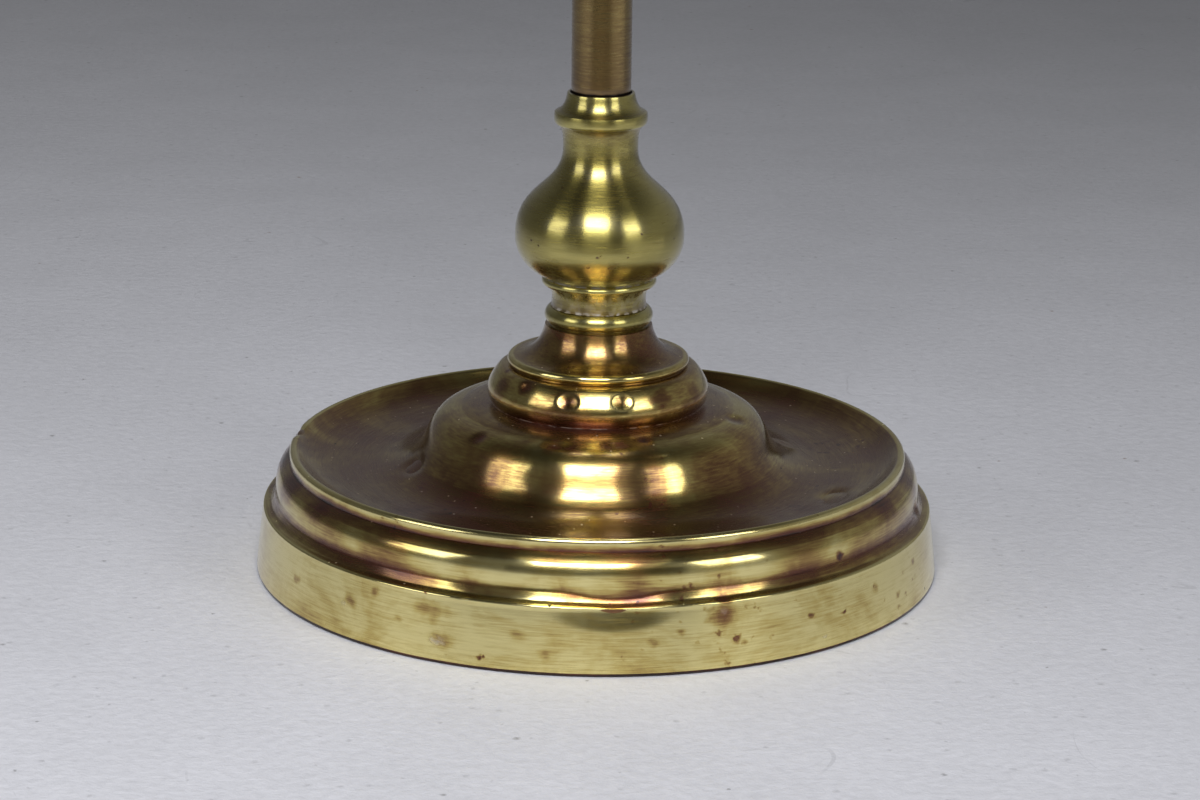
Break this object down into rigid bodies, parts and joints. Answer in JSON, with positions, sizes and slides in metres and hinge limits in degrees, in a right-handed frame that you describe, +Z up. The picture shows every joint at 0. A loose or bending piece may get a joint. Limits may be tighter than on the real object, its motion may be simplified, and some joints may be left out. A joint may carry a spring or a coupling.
{
  "type": "floor lamp",
  "caption": "Height-adjustable pharmacy floor lamp: weighted turned brass base, telescopic pole, swivelling and tilting arm and a turning dome shade.",
  "frame": {"origin": "centre of the felt pad's underside, where the lamp stands on the floor", "axes": "+Z up along the pole, +X the way the arm points at rest, +Y towards the flex gland at the back of the base"},
  "size_m": [0.5936, 0.2404, 1.1483],
  "materials": {
    "spun_brass": "polished spun sheet brass with brown tarnish in the hollows",
    "turned_brass": "satin, lathe-turned brass",
    "brass_tube": "satin drawn brass tube, browned with age",
    "shade_brass": "spun sheet brass outside, white enamel inside",
    "contact_brass": "plain stamped brass",
    "cast_iron": "rough sand-cast iron",
    "steel": "plain drawn steel",
    "felt": "dense green wool felt",
    "fibre": "dark brown pressed insulating fibre",
    "red_fibre": "red vulcanised fibre sheet",
    "porcelain": "white glazed porcelain",
    "bulb_metal": "rolled thin metal cap",
    "bulb_insulator": "black glassy insulator",
    "opal_glass": "opal white glass"
  },
  "bodies": {
    "base": {"base_shell": "spun_brass", "base_weight": "cast_iron", "felt_pad": "felt", "weight_spacer": "steel", "tie_rod": "steel", "tie_washer": "steel", "tie_nut": "steel", "flex_gland": "fibre", "gland_nut": "turned_brass", "baluster": "turned_brass", "pole_plug": "turned_brass", "lower_pole": "brass_tube", "pole_collar": "turned_brass", "collar_bush": "fibre"},
    "height_screw": {"height_screw": "turned_brass"},
    "upper_pole": {"upper_pole": "brass_tube", "guide_ring": "turned_brass", "stop_ring": "turned_brass", "head_socket": "turned_brass", "swivel_spigot": "steel", "swivel_washer": "red_fibre", "swivel_finial": "turned_brass", "outlet_bush": "fibre"},
    "swivel_head": {"swivel_block": "turned_brass", "arm_screw": "turned_brass", "arm_washers": "red_fibre"},
    "arm_wing_nut": {"arm_wing_nut": "turned_brass"},
    "arm": {"arm_knuckle": "turned_brass", "arm_tube": "brass_tube", "inlet_bush": "fibre", "arm_ferrule": "turned_brass", "arm_spigot": "steel", "tip_nut": "turned_brass"},
    "arm_tip": {"tip_fork": "turned_brass", "shade_screw": "turned_brass", "shade_washers": "red_fibre"},
    "shade_wing_nut": {"shade_wing_nut": "turned_brass"},
    "shade_head": {"shade_knuckle": "turned_brass", "holder_nipple": "steel", "holder_cap": "turned_brass", "holder_body": "turned_brass", "upper_shade_ring": "turned_brass", "lower_shade_ring": "turned_brass", "holder_porcelain": "porcelain", "holder_thread": "contact_brass", "centre_contact": "contact_brass", "terminal_screws": "contact_brass", "shade": "shade_brass", "bulb_cap": "bulb_metal", "bulb_contact": "bulb_insulator", "bulb_glass": "opal_glass"},
    "switch_key": {"switch_key": "turned_brass"}
  },
  "joints": [
    {"name": "height_slide", "type": "slide", "parent": "base", "child": "upper_pole", "axis": [0, 0, 1], "range_m": [-0.24, 0.17]},
    {"name": "height_screw_turn", "type": "hinge", "parent": "base", "child": "height_screw", "pos_m": [0.02425, 0, 0.809], "axis": [1, 0, 0], "range_deg": [0, 270]},
    {"name": "swivel", "type": "hinge", "parent": "upper_pole", "child": "swivel_head", "pos_m": [0, 0, 1.1121], "axis": [0, 0, 1], "range_deg": [-170, 170]},
    {"name": "arm_tilt", "type": "hinge", "parent": "swivel_head", "child": "arm", "pos_m": [0.027, 0, 1.1121], "axis": [0, -1, 0], "range_deg": [-50, 60]},
    {"name": "arm_nut_turn", "type": "hinge", "parent": "swivel_head", "child": "arm_wing_nut", "pos_m": [0.027, 0.012, 1.1121], "axis": [0, 1, 0], "range_deg": [0, 270]},
    {"name": "tip_roll", "type": "hinge", "parent": "arm", "child": "arm_tip", "pos_m": [0.3606, 0, 1.1121], "axis": [1, 0, 0], "range_deg": [-90, 90]},
    {"name": "shade_tilt", "type": "hinge", "parent": "arm_tip", "child": "shade_head", "pos_m": [0.3841, 0, 1.1121], "axis": [0, -1, 0], "range_deg": [-45, 90]},
    {"name": "shade_nut_turn", "type": "hinge", "parent": "arm_tip", "child": "shade_wing_nut", "pos_m": [0.3841, 0.012, 1.1121], "axis": [0, 1, 0], "range_deg": [0, 270]},
    {"name": "switch_turn", "type": "hinge", "parent": "shade_head", "child": "switch_key", "pos_m": [0.3841, 0.025, 1.0626], "axis": [0, 1, 0], "continuous": true}
  ]
}
